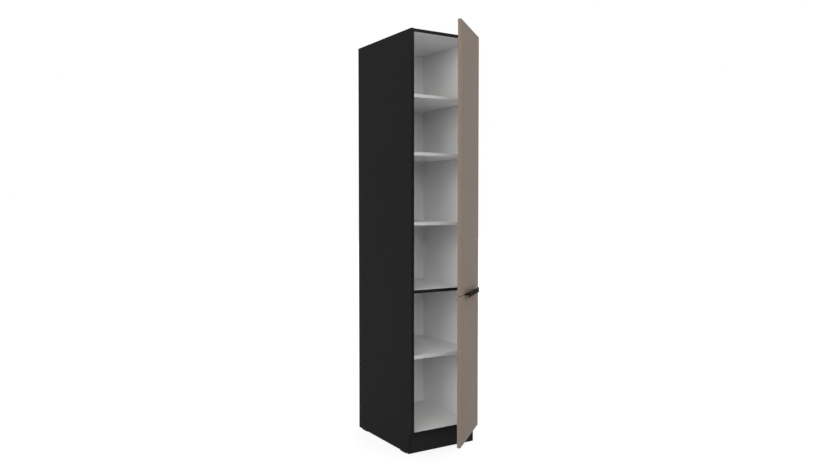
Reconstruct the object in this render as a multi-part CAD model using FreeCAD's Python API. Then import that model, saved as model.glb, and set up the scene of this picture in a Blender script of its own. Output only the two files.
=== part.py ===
import FreeCAD, Part
import math
import os
from FreeCAD import Vector

# Tall two-door utility cabinet, in millimetres.
# The origin is on the floor at the centre of the carcass footprint.
# +X is to the right of a person facing the doors, +Y runs from the doors to the wall, +Z is up.

# Carcass
width = 400.0
depth = 560.0
height = 2120.0
board = 16.0
edge_band = 1.0

# Foot
glide_height = 5.0
glide_length = 60.0
glide_width = 14.0
glide_corner = 6.0
glide_front_inset = 86.0
glide_rear_inset = 60.0
nail_radius = 1.1
nail_length = 18.0
nail_head_radius = 2.6
nail_head_height = 1.2
nail_spacing = 40.0
toe_height = 97.0
toe_recess = 27.0
plinth_dowel_inset = 24.0

# Boards between the sides: the highest shelf hangs below the top panel by the clear height top_space,
# the others are given by the height of their upper faces above the floor
fixed_shelf_top = 832.0
top_space = 302.0
upper_shelf_tops = [1516.5, 1169.5]
lower_shelf_top = 502.0
top_setback = 5.0
bottom_setback = 2.0
shelf_setback = 2.0
shelf_side_clearance = 1.0
shelf_rear_clearance = 1.0

# Back panel in its grooves, and the rails behind it
back_thickness = 3.0
back_void = 66.0
groove_depth = 8.0
groove_clearance = 0.2
back_tongue = 7.0
rail_height = 96.0
rail_middle_height = 1060.0
rail_dowel_inset = 24.0
wall_hole_radius = 3.0
wall_hole_spacing = 256.0

# Shelf pins
pin_radius = 2.5
pin_depth = 8.0
pin_tongue_length = 9.0
pin_tongue_width = 8.0
pin_tongue_height = 4.0
pin_inset = 37.0
pin_hole_pitch = 32.0

# Cam fittings and dowels
cam_radius = 7.5
cam_height = 12.0
cam_setback = 34.0
bolt_radius = 3.0
bolt_thread_radius = 2.5
bolt_thread_depth = 10.0
dowel_radius = 4.0
dowel_in_side = 10.0
dowel_in_board = 20.0
joint_inset = 60.0
dowel_offset = 32.0
fastener_clearance = 0.05
hole_end_clearance = 0.5

# Doors
door_thickness = 16.0
door_side_reveal = 2.0
door_top_reveal = 2.0
door_standoff = 2.0
door_edge_radius = 0.8
door_open_angle = 41.2
door_full_angle = 100.0
bumper_radius = 4.0
bumper_height = 1.8
bumper_inset = 6.0
bumper_end_inset = 12.0

# Edge pulls
pull_length = 240.0
pull_projection = 22.0
pull_web = 1.2
pull_gap = 0.6
pull_lip = 1.5
pull_lip_height = 12.5
pull_bend_radius = 1.5
pull_flange_height = 20.5
pull_screw_spacing = 192.0
pull_screw_height = 12.5
pull_screw_radius = 1.5
pull_screw_length = 11.0
pull_screw_head_radius = 2.8
pull_screw_head_height = 1.6

# Hinge heights, measured from the nearer end of each door
hinge_end_inset = 100.0
upper_middle_hinge = 1440.0

# Hinge cup, measured in plan from the hinge edge of the door
cup_edge_distance = 3.0
cup_radius = 17.4
cup_depth = 13.2
cup_wall = 0.8
cup_floor = 0.7
cup_clearance = 0.1
cup_flange_radius = 19.0
cup_flange_thickness = 1.0
cup_flange_cut = 10.0
cup_wing_width = 14.0
cup_wing_length = 56.0
cup_screw_offset = 9.5
cup_screw_spacing = 45.0
cup_screw_radius = 1.8
cup_screw_length = 12.0
cup_screw_head_radius = 3.2
cup_screw_head_height = 1.5

# Hinge pins: cup pins from the cup centre and the door's inner face,
# arm pins from the inner face of the side panel and the door's inner face
hinge_pin_radius = 1.2
outer_cup_pin_offset = 11.0
outer_cup_pin_depth = 4.5
inner_cup_pin_offset = 11.75
inner_cup_pin_depth = 8.55
outer_arm_pin_reach = 20.0
outer_arm_pin_height = 6.0
inner_arm_pin_reach = 28.0
inner_arm_pin_height = 8.2
running_clearance = 0.05

# Turn of the outer links for each degree that a door opens
outer_link_turn = -0.26

# Hinge links
link_half_width = 1.2
link_eye_radius = 2.3
outer_knee_offset = 3.5
outer_knee_depth = 6.5
inner_knee_offset = 0.5
inner_knee_depth = 10.0
fork_half_gap = 1.6
fork_prong = 0.8
fork_reach = 1.5
fork_throat = 3.2

# Hinge levels, measured up and down from the middle of a hinge
inner_link_half = 4.0
outer_plate_start = 4.8
outer_plate_end = 6.3
arm_cheek_start = 6.8
arm_cheek_end = 8.3
pin_end_gap = 0.3

# Hinge arm and mounting plate, in plan from the side panel's inner face and front edge
arm_base = 10.0
arm_top = 22.0
arm_web = 1.5
arm_rear = 76.0
arm_slot_end = 26.0
arm_slope_end = 16.0
plate_setback = 37.0
plate_wing = 3.0
plate_wing_half = 25.0
plate_wing_depth = 14.0
plate_front = 28.0
plate_rear = 72.0
plate_clearance = 0.4
plate_screw_spacing = 32.0
plate_screw_radius = 2.0
plate_screw_length = 13.0
plate_screw_head_radius = 3.6
plate_screw_head_height = 1.8
arm_screw_setback = 58.0
arm_screw_radius = 2.2
arm_screw_length = 12.0
arm_screw_head_radius = 3.8
arm_screw_head_height = 2.2

# Faces and levels worked out from the sizes above
half_width = width / 2
inner_half = half_width - board
front = -depth / 2
rear = depth / 2
foot = glide_height
bottom_under = foot + toe_height
bottom_over = bottom_under + board
top_under = height - board
fixed_under = fixed_shelf_top - board
shelf_tops = [top_under - top_space] + upper_shelf_tops + [lower_shelf_top]
back_rear = rear - back_void
back_front = back_rear - back_thickness
toe_face = front + toe_recess

door_half = half_width - door_side_reveal
door_inner = front - door_standoff
door_outer = door_inner - door_thickness
gap_middle = fixed_under + board / 2
door_gap = pull_gap + 2 * pull_web
lower_door_bottom = bottom_under
lower_door_top = gap_middle - door_gap / 2
upper_door_bottom = gap_middle + door_gap / 2
upper_door_top = height - door_top_reveal
upper_hinges = [upper_door_bottom + hinge_end_inset, upper_middle_hinge, upper_door_top - hinge_end_inset]
lower_hinges = [lower_door_bottom + hinge_end_inset, lower_door_top - hinge_end_inset]

X = Vector(1, 0, 0)
Y = Vector(0, 1, 0)
Z = Vector(0, 0, 1)


def box(x0, x1, y0, y1, z0, z1):
    return Part.makeBox(x1 - x0, y1 - y0, z1 - z0, Vector(x0, y0, z0))


def rod(radius, start, end):
    along = end - start
    return Part.makeCylinder(radius, along.Length, start, along)


def cut_all(shape, tools):
    if tools:
        shape = shape.cut(Part.makeCompound(tools))
    return shape


def fuse_all(shapes):
    return shapes[0].multiFuse(shapes[1:]).removeSplitter()


def save(name, solids):
    whole = solids[0] if len(solids) == 1 else Part.makeCompound(solids)
    if not whole.isValid():
        raise ValueError(name + " is not a valid shape")
    whole.exportStep("parts/" + name + ".step")


# Hinge plan: u runs from the hinge edge of the closed door towards its free edge,
# v runs from the inner face of the closed door into the cabinet.
def plan(u, v, z=0.0):
    return Vector(door_half - u, door_inner + v, z)


panel_u = door_half - inner_half
panel_v = door_standoff
cup_u = cup_edge_distance + cup_radius + cup_clearance

outer_cup_pin = (cup_u - outer_cup_pin_offset, -outer_cup_pin_depth)
inner_cup_pin = (cup_u - inner_cup_pin_offset, -inner_cup_pin_depth)
outer_arm_pin = (panel_u + outer_arm_pin_reach, outer_arm_pin_height)
inner_arm_pin = (panel_u + inner_arm_pin_reach, inner_arm_pin_height)


# Motion from the closed position to the ajar one
def turned(shape, pivot, angle):
    moved = shape.copy()
    moved.rotate(plan(*pivot), Z, angle)
    return moved


def turned_point(point, pivot, angle):
    return pivot + FreeCAD.Rotation(Z, angle).multVec(point - pivot)


def cup_pin_bearing(angle):
    """Direction from the inner arm pin to the inner cup pin of a door opened by an angle."""
    on_link = turned_point(plan(*inner_cup_pin), plan(*outer_cup_pin), (1 - outer_link_turn) * angle)
    away = turned_point(on_link, plan(*outer_arm_pin), outer_link_turn * angle) - plan(*inner_arm_pin)
    return math.degrees(math.atan2(away.y, away.x))


# The inner links turn so that their forks meet the cup pins with the door shut and fully open
inner_link_turn = (cup_pin_bearing(door_full_angle) - cup_pin_bearing(0)) / door_full_angle


def swing_outer(shape):
    return turned(shape, outer_arm_pin, outer_link_turn * door_open_angle)


def swing_inner(shape):
    return turned(shape, inner_arm_pin, inner_link_turn * door_open_angle)


def swing_door(shape):
    on_link = turned(shape, outer_cup_pin, (1 - outer_link_turn) * door_open_angle)
    return swing_outer(on_link)


# Joints between the fixed boards and the sides
joint_rows = [front + joint_inset, back_front - joint_inset]
dowel_rows = [joint_rows[0] + dowel_offset, joint_rows[1] - dowel_offset]
fixed_boards = [top_under, bottom_under, fixed_under]


def dowel(side, y, z):
    return rod(dowel_radius, Vector(side * (inner_half + dowel_in_side), y, z),
               Vector(side * (inner_half - dowel_in_board), y, z))


def dowel_hole(side, y, z):
    return rod(dowel_radius + fastener_clearance,
               Vector(side * (inner_half + dowel_in_side + hole_end_clearance), y, z),
               Vector(side * (inner_half - dowel_in_board - hole_end_clearance), y, z))


def cam_base(under):
    """The cam of the top board is let in from above, the others from below."""
    if under == top_under:
        return under + board - cam_height
    return under


def cam_disc(side, y, under):
    centre = Vector(side * (inner_half - cam_setback), y, cam_base(under))
    disc = Part.makeCylinder(cam_radius, cam_height, centre)
    mouth_radius = bolt_radius + hole_end_clearance
    middle = Vector(centre.x, y, under + board / 2)
    mouth = rod(mouth_radius, middle, middle + X * side * (cam_radius + mouth_radius))
    return disc.cut(mouth)


def cam_bolt(side, y, under):
    z = under + board / 2
    tip = inner_half - cam_setback + bolt_radius
    shank = rod(bolt_radius, Vector(side * tip, y, z), Vector(side * inner_half, y, z))
    thread = rod(bolt_thread_radius, Vector(side * inner_half, y, z),
                 Vector(side * (inner_half + bolt_thread_depth), y, z))
    return shank.fuse(thread).removeSplitter()


def board_joint_holes(under):
    """Cam, bolt and dowel holes at both ends of a fixed board."""
    z = under + board / 2
    holes = []
    for side in (-1, 1):
        for y in joint_rows:
            centre = Vector(side * (inner_half - cam_setback), y, cam_base(under))
            holes.append(Part.makeCylinder(cam_radius + fastener_clearance, cam_height, centre))
            holes.append(rod(bolt_radius + fastener_clearance, Vector(centre.x, y, z),
                             Vector(side * (inner_half + hole_end_clearance), y, z)))
        for y in dowel_rows:
            holes.append(dowel_hole(side, y, z))
    return holes


# Dowels of the plinth and the rear rails
plinth_middle = toe_face + board / 2
rail_middle = rear - board / 2
rail_levels = [bottom_over, rail_middle_height, top_under - rail_height]
plinth_dowels = [(plinth_middle, foot + plinth_dowel_inset),
                 (plinth_middle, bottom_under - plinth_dowel_inset)]
rail_dowels = []
for level in rail_levels:
    rail_dowels.append((rail_middle, level + rail_dowel_inset))
    rail_dowels.append((rail_middle, level + rail_height - rail_dowel_inset))
board_dowels = [(y, under + board / 2) for under in fixed_boards for y in dowel_rows]
all_dowels = board_dowels + plinth_dowels + rail_dowels

# Shelf pins
pin_rows = [front + shelf_setback + pin_inset, back_front - shelf_rear_clearance - pin_inset]


def pin_level(top):
    return top - board - pin_tongue_height / 2


def shelf_pin(side, y, top):
    z = pin_level(top)
    stem = rod(pin_radius, Vector(side * (inner_half + pin_depth), y, z),
               Vector(side * inner_half, y, z))
    inner = side * (inner_half - pin_tongue_length)
    outer = side * inner_half
    tongue = box(min(inner, outer), max(inner, outer), y - pin_tongue_width / 2, y + pin_tongue_width / 2,
                 z - pin_tongue_height / 2, z + pin_tongue_height / 2)
    return stem.fuse(tongue).removeSplitter()


# Floor glides
glide_x = half_width - board / 2
glide_rows = [front + glide_front_inset, rear - glide_rear_inset]
nail_rows = [y + shift * nail_spacing / 2 for y in glide_rows for shift in (-1, 1)]


def glide_nail(x, y):
    seat = Vector(x, y, glide_height / 2)
    head = rod(nail_head_radius, seat - Z * nail_head_height, seat)
    shank = rod(nail_radius, seat, seat + Z * nail_length)
    return head.fuse(shank).removeSplitter()


def nail_hole(x, y):
    """Stepped hole for a nail, open at the floor side."""
    head = Part.makeCylinder(nail_head_radius + fastener_clearance, glide_height / 2, Vector(x, y, 0))
    shank = Part.makeCylinder(nail_radius + fastener_clearance, nail_length + hole_end_clearance,
                              Vector(x, y, glide_height / 2))
    return head.fuse(shank)


def glide(side, y):
    x = side * glide_x
    pad = box(x - glide_width / 2, x + glide_width / 2, y - glide_length / 2, y + glide_length / 2,
              0, glide_height)
    upright = [edge for edge in pad.Edges if edge.BoundBox.ZLength > glide_height / 2]
    pad = pad.makeFillet(glide_corner, upright)
    return cut_all(pad, [nail_hole(x, y + shift * nail_spacing / 2) for shift in (-1, 1)])


# Side panels
def plate_screw_points(z):
    return [plan(panel_u, panel_v + plate_setback, z + shift * plate_screw_spacing / 2) for shift in (-1, 1)]


def side_panel(side):
    inner = side * inner_half
    outer = side * half_width
    low = min(inner, outer)
    high = max(inner, outer)
    panel = box(low, high, front + edge_band, rear, foot, height)
    toe = box(low, high, front, toe_face, foot, bottom_under)
    groove_start = side * (inner_half + groove_depth)
    groove = box(min(inner, groove_start), max(inner, groove_start), back_front - groove_clearance,
                 back_rear + groove_clearance, bottom_over - groove_depth, top_under + groove_depth)
    tools = [toe, groove]
    for y, z in all_dowels:
        tools.append(dowel_hole(side, y, z))
    for under in fixed_boards:
        for y in joint_rows:
            tools.append(rod(bolt_thread_radius + fastener_clearance, Vector(inner, y, under + board / 2),
                             Vector(side * (inner_half + bolt_thread_depth + hole_end_clearance), y,
                                    under + board / 2)))
    for top in shelf_tops:
        for y in pin_rows:
            for shift in (-1, 0, 1):
                z = pin_level(top) + shift * pin_hole_pitch
                tools.append(rod(pin_radius + fastener_clearance, Vector(inner, y, z),
                                 Vector(side * (inner_half + pin_depth + hole_end_clearance), y, z)))
    for y in nail_rows:
        tools.append(nail_hole(side * glide_x, y))
    if side > 0:
        for z in upper_hinges + lower_hinges:
            for point in plate_screw_points(z):
                reach = plate_screw_length - plate_wing + hole_end_clearance
                tools.append(rod(plate_screw_radius + fastener_clearance, point, point + X * reach))
    return panel.cut(tools)


def side_edge_band(side):
    low = min(side * inner_half, side * half_width)
    return box(low, low + board, front, front + edge_band, bottom_under, height)


# Boards between the sides
def fixed_board(under, setback, board_rear, grooves):
    panel = box(-inner_half, inner_half, front + setback + edge_band, board_rear, under, under + board)
    return cut_all(panel, board_joint_holes(under) + grooves)


def board_edge_band(under, setback):
    return box(-inner_half, inner_half, front + setback, front + setback + edge_band, under, under + board)


def board_groove(z0, z1):
    return box(-inner_half, inner_half, back_front - groove_clearance, back_rear + groove_clearance, z0, z1)


shelf_half = inner_half - shelf_side_clearance


def loose_shelf(top):
    return box(-shelf_half, shelf_half, front + shelf_setback + edge_band, back_front - shelf_rear_clearance,
               top - board, top)


def shelf_edge_band(top):
    edge = front + shelf_setback
    return box(-shelf_half, shelf_half, edge, edge + edge_band, top - board, top)


def rear_rail(level):
    rail = box(-inner_half, inner_half, rear - board, rear, level, level + rail_height)
    holes = []
    for y, z in rail_dowels:
        for side in (-1, 1):
            holes.append(dowel_hole(side, y, z))
    if level == rail_levels[-1]:
        for side in (-1, 1):
            start = Vector(side * wall_hole_spacing / 2, rear - board, level + rail_height / 2)
            holes.append(rod(wall_hole_radius, start, start + Y * board))
    return cut_all(rail, holes)


def plinth():
    panel = box(-inner_half, inner_half, toe_face, toe_face + board, foot, bottom_under)
    return cut_all(panel, [dowel_hole(side, y, z) for y, z in plinth_dowels for side in (-1, 1)])


# Doors, drawn closed
cup_screw_u = cup_u + cup_screw_offset


def cup_screw_points(z):
    return [plan(cup_screw_u, cup_flange_thickness, z + shift * cup_screw_spacing / 2) for shift in (-1, 1)]


def pull_screw_points(edge, direction):
    y = door_inner + pull_web
    z = edge + direction * pull_screw_height
    return [Vector(side * pull_screw_spacing / 2, y, z) for side in (-1, 1)]


def door(bottom, top, hinges, pull_edge, pull_direction):
    slab = box(-door_half, door_half, door_outer, door_inner, bottom, top)
    outer_edges = [edge for edge in slab.Edges if edge.BoundBox.YMax < door_outer + door_edge_radius]
    slab = slab.makeFillet(door_edge_radius, outer_edges)
    tools = []
    for z in hinges:
        tools.append(rod(cup_radius + cup_clearance, plan(cup_u, 0, z),
                         plan(cup_u, -cup_depth - cup_clearance, z)))
        for point in cup_screw_points(z):
            tip = point - Y * (cup_screw_length + hole_end_clearance)
            tools.append(rod(cup_screw_radius + fastener_clearance, point, tip))
    for point in pull_screw_points(pull_edge, pull_direction):
        tip = point - Y * (pull_screw_length + hole_end_clearance)
        tools.append(rod(pull_screw_radius + fastener_clearance, point, tip))
    return slab.cut(tools)


def bumper(z):
    return rod(bumper_radius, Vector(-door_half + bumper_inset, door_inner, z),
               Vector(-door_half + bumper_inset, door_inner + bumper_height, z))


# Edge pulls: a flange behind the door, a web along its edge and a lip in front
def edge_pull(edge, direction):
    half = pull_length / 2
    web_far = edge - direction * pull_web
    lip_far = edge + direction * (pull_lip_height - pull_web)
    flange_far = edge + direction * pull_flange_height
    lip_front = door_outer - pull_projection
    web = box(-half, half, lip_front, door_inner + pull_web, min(edge, web_far), max(edge, web_far))
    lip = box(-half, half, lip_front, lip_front + pull_lip, min(web_far, lip_far), max(web_far, lip_far))
    flange = box(-half, half, door_inner, door_inner + pull_web,
                 min(web_far, flange_far), max(web_far, flange_far))
    profile = fuse_all([web, lip, flange])
    inner_bend = Vector(0, lip_front + pull_lip, edge)
    outer_bend = Vector(0, lip_front, web_far)
    for bend, radius in ((inner_bend, pull_bend_radius), (outer_bend, pull_bend_radius + pull_lip)):
        corner = min(profile.Edges, key=lambda line: line.CenterOfMass.distanceToPoint(bend))
        profile = profile.makeFillet(radius, [corner])
    holes = []
    for point in pull_screw_points(edge, direction):
        holes.append(rod(pull_screw_radius + fastener_clearance, point - Y * pull_web, point))
    return cut_all(profile, holes)


def screw(point, inward, radius, length, head_radius, head_height):
    """A screw whose head seats at a point and whose shank runs inward."""
    shank = rod(radius, point, point + inward * length)
    head = rod(head_radius, point - inward * head_height, point)
    return shank.fuse(head).removeSplitter()


# Hinges
def prism(points, z0, z1):
    """An upright prism over a closed plan outline."""
    corners = [plan(u, v, z0) for u, v in points]
    outline = Part.makePolygon(corners + corners[:1])
    return Part.Face(outline).extrude(Z * (z1 - z0))


def strip(start, end, half, z0, z1):
    """A straight strip of a link between two plan points."""
    du = end[0] - start[0]
    dv = end[1] - start[1]
    length = math.hypot(du, dv)
    nu = -dv / length * half
    nv = du / length * half
    corners = [(start[0] + nu, start[1] + nv), (end[0] + nu, end[1] + nv),
               (end[0] - nu, end[1] - nv), (start[0] - nu, start[1] - nv)]
    return prism(corners, z0, z1)


def upright(point, radius, z0, z1):
    return rod(radius, plan(point[0], point[1], z0), plan(point[0], point[1], z1))


def hinge_cup(z):
    outside = rod(cup_radius, plan(cup_u, 0, z), plan(cup_u, -cup_depth, z))
    disc = rod(cup_flange_radius, plan(cup_u, 0, z), plan(cup_u, cup_flange_thickness, z))
    beyond = cup_flange_cut - cup_flange_radius
    disc = disc.cut(box(door_half - cup_flange_cut, door_half - beyond, door_inner,
                        door_inner + cup_flange_thickness, z - cup_flange_radius, z + cup_flange_radius))
    wing_x = door_half - cup_screw_u
    wing = box(wing_x - cup_wing_width / 2, wing_x + cup_wing_width / 2, door_inner,
               door_inner + cup_flange_thickness, z - cup_wing_length / 2, z + cup_wing_length / 2)
    cavity = rod(cup_radius - cup_wall, plan(cup_u, cup_flange_thickness, z),
                 plan(cup_u, cup_floor - cup_depth, z))
    tools = [cavity]
    for point in cup_screw_points(z):
        tools.append(rod(cup_screw_radius + fastener_clearance, point - Y * cup_flange_thickness, point))
    for pin, offset in ((outer_cup_pin, outer_cup_pin_offset), (inner_cup_pin, inner_cup_pin_offset)):
        reach = cup_pin_reach(offset) + fastener_clearance
        tools.append(upright(pin, hinge_pin_radius + fastener_clearance, z - reach, z + reach))
    return cut_all(fuse_all([outside, disc, wing]), tools)


def cup_pin_reach(offset):
    """Half the span between the cup walls at a pin's distance from the cup centre."""
    return math.sqrt((cup_radius - cup_wall) ** 2 - offset ** 2)


def cup_pins(z):
    """Two short pins for the outer plates and one long pin for the inner link."""
    reach = cup_pin_reach(outer_cup_pin_offset)
    inner_reach = cup_pin_reach(inner_cup_pin_offset)
    start = inner_link_half + pin_end_gap
    return [upright(outer_cup_pin, hinge_pin_radius, z + start, z + reach),
            upright(outer_cup_pin, hinge_pin_radius, z - reach, z - start),
            upright(inner_cup_pin, hinge_pin_radius, z - inner_reach, z + inner_reach)]


outer_knee = (cup_u - outer_knee_offset, -outer_knee_depth)
inner_knee = (cup_u - inner_knee_offset, -inner_knee_depth)


def outer_plate(z0, z1):
    pieces = [upright(outer_cup_pin, link_eye_radius, z0, z1),
              upright(outer_arm_pin, link_eye_radius, z0, z1),
              upright(outer_knee, link_half_width, z0, z1),
              strip(outer_cup_pin, outer_knee, link_half_width, z0, z1),
              strip(outer_knee, outer_arm_pin, link_half_width, z0, z1)]
    holes = [upright(pin, hinge_pin_radius + running_clearance, z0, z1)
             for pin in (outer_cup_pin, outer_arm_pin)]
    return cut_all(fuse_all(pieces), holes)


def inner_link(z):
    """A cranked link with an eye on the arm pin and an open fork round the cup pin."""
    z0 = z - inner_link_half
    z1 = z + inner_link_half
    run_u = inner_arm_pin[0] - inner_cup_pin[0]
    run_v = inner_arm_pin[1] - inner_cup_pin[1]
    length = math.hypot(run_u, run_v)
    along = (run_u / length, run_v / length)
    fork_end = (inner_cup_pin[0] - along[0] * fork_reach, inner_cup_pin[1] - along[1] * fork_reach)
    fork_root = (inner_cup_pin[0] + along[0] * fork_throat, inner_cup_pin[1] + along[1] * fork_throat)
    fork_back = (fork_root[0] + along[0] * fork_prong, fork_root[1] + along[1] * fork_prong)
    pieces = [strip(fork_end, fork_back, fork_half_gap + fork_prong, z0, z1),
              strip(fork_back, inner_knee, link_half_width, z0, z1),
              upright(inner_knee, link_half_width, z0, z1),
              strip(inner_knee, inner_arm_pin, link_half_width, z0, z1),
              upright(inner_arm_pin, link_eye_radius, z0, z1)]
    throat = strip(fork_end, fork_root, fork_half_gap, z0, z1)
    eye = upright(inner_arm_pin, hinge_pin_radius + running_clearance, z0, z1)
    return cut_all(fuse_all(pieces), [throat, eye])


arm_nose = outer_arm_pin_height - link_eye_radius - arm_web
arm_front = panel_u + outer_arm_pin_reach - link_eye_radius - arm_web
arm_back = panel_u + inner_arm_pin_reach + link_eye_radius + arm_web


def hinge_arm(z):
    """A channel over the mounting plate whose two cheeks carry the link pins."""
    low = panel_u + arm_base
    high = panel_u + arm_top
    outline = [(arm_front, arm_nose), (panel_u + outer_arm_pin_reach + link_eye_radius, arm_nose),
               (arm_back, inner_arm_pin_height - link_eye_radius),
               (arm_back, inner_arm_pin_height + link_eye_radius),
               (high, panel_v + arm_slot_end), (high, panel_v + arm_rear), (low, panel_v + arm_rear),
               (low, panel_v + arm_slope_end), (arm_front, outer_arm_pin_height + link_eye_radius)]
    block = prism(outline, z - arm_cheek_end, z + arm_cheek_end)
    slot = box(door_half - arm_back - arm_web, door_half - low + arm_web, door_inner,
               front + arm_slot_end, z - arm_cheek_start, z + arm_cheek_start)
    channel = box(door_half - high + arm_web, door_half - low + arm_web, front + arm_slot_end,
                  front + arm_rear + arm_web, z - arm_cheek_start, z + arm_cheek_start)
    holes = [upright(pin, hinge_pin_radius + fastener_clearance, z - arm_cheek_end, z + arm_cheek_end)
             for pin in (outer_arm_pin, inner_arm_pin)]
    seat = arm_screw_seat(z)
    holes.append(rod(arm_screw_radius + fastener_clearance, seat, seat + X * arm_web))
    return cut_all(block, [slot, channel] + holes)


def arm_pins(z):
    return [upright(pin, hinge_pin_radius, z - arm_cheek_end, z + arm_cheek_end)
            for pin in (outer_arm_pin, inner_arm_pin)]


def arm_screw_seat(z):
    return plan(panel_u + arm_top, panel_v + arm_screw_setback, z)


def hinge_plate(z):
    """A cross-shaped mounting plate with a rail that the arm slides over."""
    rail_half = arm_cheek_start - plate_clearance
    rail_top = inner_half - arm_top + arm_web
    rail = box(rail_top, inner_half, front + plate_front, front + plate_rear, z - rail_half, z + rail_half)
    wing = box(inner_half - plate_wing, inner_half, front + plate_setback - plate_wing_depth / 2,
               front + plate_setback + plate_wing_depth / 2, z - plate_wing_half, z + plate_wing_half)
    seat = arm_screw_seat(z)
    tip = seat + X * (arm_screw_length + hole_end_clearance)
    holes = [rod(arm_screw_radius + fastener_clearance, seat, tip)]
    for point in plate_screw_points(z):
        holes.append(rod(plate_screw_radius + fastener_clearance, point - X * plate_wing, point))
    return cut_all(fuse_all([rail, wing]), holes)


def plate_screws(z):
    return [screw(point - X * plate_wing, X, plate_screw_radius, plate_screw_length,
                  plate_screw_head_radius, plate_screw_head_height) for point in plate_screw_points(z)]


def arm_screw(z):
    return screw(arm_screw_seat(z), X, arm_screw_radius, arm_screw_length,
                 arm_screw_head_radius, arm_screw_head_height)


# Export of the fixed carcass
os.makedirs("parts", exist_ok=True)
sides = (-1, 1)
save("side_panel_left", [side_panel(-1)])
save("side_panel_right", [side_panel(1)])
save("side_edge_bands", [side_edge_band(side) for side in sides])
save("top_panel", [fixed_board(top_under, top_setback, rear,
                               [board_groove(top_under, top_under + groove_depth)])])
save("bottom_panel", [fixed_board(bottom_under, bottom_setback, rear,
                                  [board_groove(bottom_over - groove_depth, bottom_over)])])
save("fixed_shelf", [fixed_board(fixed_under, 0.0, back_front, [])])
save("panel_edge_bands", [board_edge_band(top_under, top_setback),
                          board_edge_band(bottom_under, bottom_setback),
                          board_edge_band(fixed_under, 0.0)])
for number, shelf_top in enumerate(shelf_tops, 1):
    save("shelf_%d" % number, [loose_shelf(shelf_top)])
save("shelf_edge_bands", [shelf_edge_band(shelf_top) for shelf_top in shelf_tops])
save("back_panel", [box(-inner_half - back_tongue, inner_half + back_tongue, back_front, back_rear,
                        bottom_over - back_tongue, top_under + back_tongue)])
save("rear_rails", [rear_rail(level) for level in rail_levels])
save("plinth_board", [plinth()])
save("glides", [glide(side, y) for side in sides for y in glide_rows])
save("glide_nails", [glide_nail(side * glide_x, y) for side in sides for y in nail_rows])
save("shelf_pins", [shelf_pin(side, y, shelf_top)
                    for shelf_top in shelf_tops for side in sides for y in pin_rows])
save("cam_discs", [cam_disc(side, y, under) for under in fixed_boards for side in sides for y in joint_rows])
save("cam_bolts", [cam_bolt(side, y, under) for under in fixed_boards for side in sides for y in joint_rows])
save("dowels", [dowel(side, y, z) for y, z in all_dowels for side in sides])

all_hinges = upper_hinges + lower_hinges
save("hinge_plates", [hinge_plate(z) for z in all_hinges])
save("plate_screws", [piece for z in all_hinges for piece in plate_screws(z)])
save("hinge_arms", [hinge_arm(z) for z in all_hinges])
save("arm_screws", [arm_screw(z) for z in all_hinges])
save("arm_pins", [piece for z in all_hinges for piece in arm_pins(z)])


# Export of one door with its hinge links, ajar
def save_door(name, bottom, top, hinges, pull_edge, pull_direction):
    slab = door(bottom, top, hinges, pull_edge, pull_direction)
    save(name + "_door", [swing_door(slab)])
    save(name + "_pull", [swing_door(edge_pull(pull_edge, pull_direction))])
    pull_screws = [screw(point, -Y, pull_screw_radius, pull_screw_length, pull_screw_head_radius,
                         pull_screw_head_height) for point in pull_screw_points(pull_edge, pull_direction)]
    save(name + "_pull_screws", [swing_door(piece) for piece in pull_screws])
    pads = [bumper(bottom + bumper_end_inset), bumper(top - bumper_end_inset)]
    save(name + "_bumpers", [swing_door(piece) for piece in pads])
    save(name + "_hinge_cups", [swing_door(hinge_cup(z)) for z in hinges])
    cup_screws = [screw(point, -Y, cup_screw_radius, cup_screw_length, cup_screw_head_radius,
                        cup_screw_head_height) for z in hinges for point in cup_screw_points(z)]
    save(name + "_cup_screws", [swing_door(piece) for piece in cup_screws])
    save(name + "_cup_pins", [swing_door(piece) for z in hinges for piece in cup_pins(z)])
    plates = []
    for z in hinges:
        plates.append(outer_plate(z + outer_plate_start, z + outer_plate_end))
        plates.append(outer_plate(z - outer_plate_end, z - outer_plate_start))
    save(name + "_outer_links", [swing_outer(piece) for piece in plates])
    save(name + "_inner_links", [swing_inner(inner_link(z)) for z in hinges])


save_door("upper", upper_door_bottom, upper_door_top, upper_hinges, upper_door_bottom, 1)
save_door("lower", lower_door_bottom, lower_door_top, lower_hinges, lower_door_top, -1)
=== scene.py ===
import math

import bmesh
import bpy
from bpy.props import FloatProperty, FloatVectorProperty, IntProperty, PointerProperty
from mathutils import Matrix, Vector


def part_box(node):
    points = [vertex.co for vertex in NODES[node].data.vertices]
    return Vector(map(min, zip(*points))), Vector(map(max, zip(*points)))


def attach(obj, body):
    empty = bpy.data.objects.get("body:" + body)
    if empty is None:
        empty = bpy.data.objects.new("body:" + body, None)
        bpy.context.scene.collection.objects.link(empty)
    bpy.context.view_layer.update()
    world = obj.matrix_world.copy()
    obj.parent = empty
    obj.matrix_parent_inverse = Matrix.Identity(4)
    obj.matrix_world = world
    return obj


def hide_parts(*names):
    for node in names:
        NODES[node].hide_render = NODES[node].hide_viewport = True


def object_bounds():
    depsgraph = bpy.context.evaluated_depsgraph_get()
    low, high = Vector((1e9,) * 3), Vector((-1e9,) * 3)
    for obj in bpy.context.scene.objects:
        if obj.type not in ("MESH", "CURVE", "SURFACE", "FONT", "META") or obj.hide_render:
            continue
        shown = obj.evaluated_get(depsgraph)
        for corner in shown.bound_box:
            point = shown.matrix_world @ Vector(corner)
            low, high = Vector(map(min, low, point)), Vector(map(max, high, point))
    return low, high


bl_info = {
    "name": "Tall utility cabinet",
    "version": (1, 0, 0),
    "blender": (4, 5, 0),
    "location": "View3D > Sidebar > Cabinet",
    "description": "Finishes, small fittings and a studio for a tall two-door utility cabinet",
    "category": "Object",
}

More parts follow.
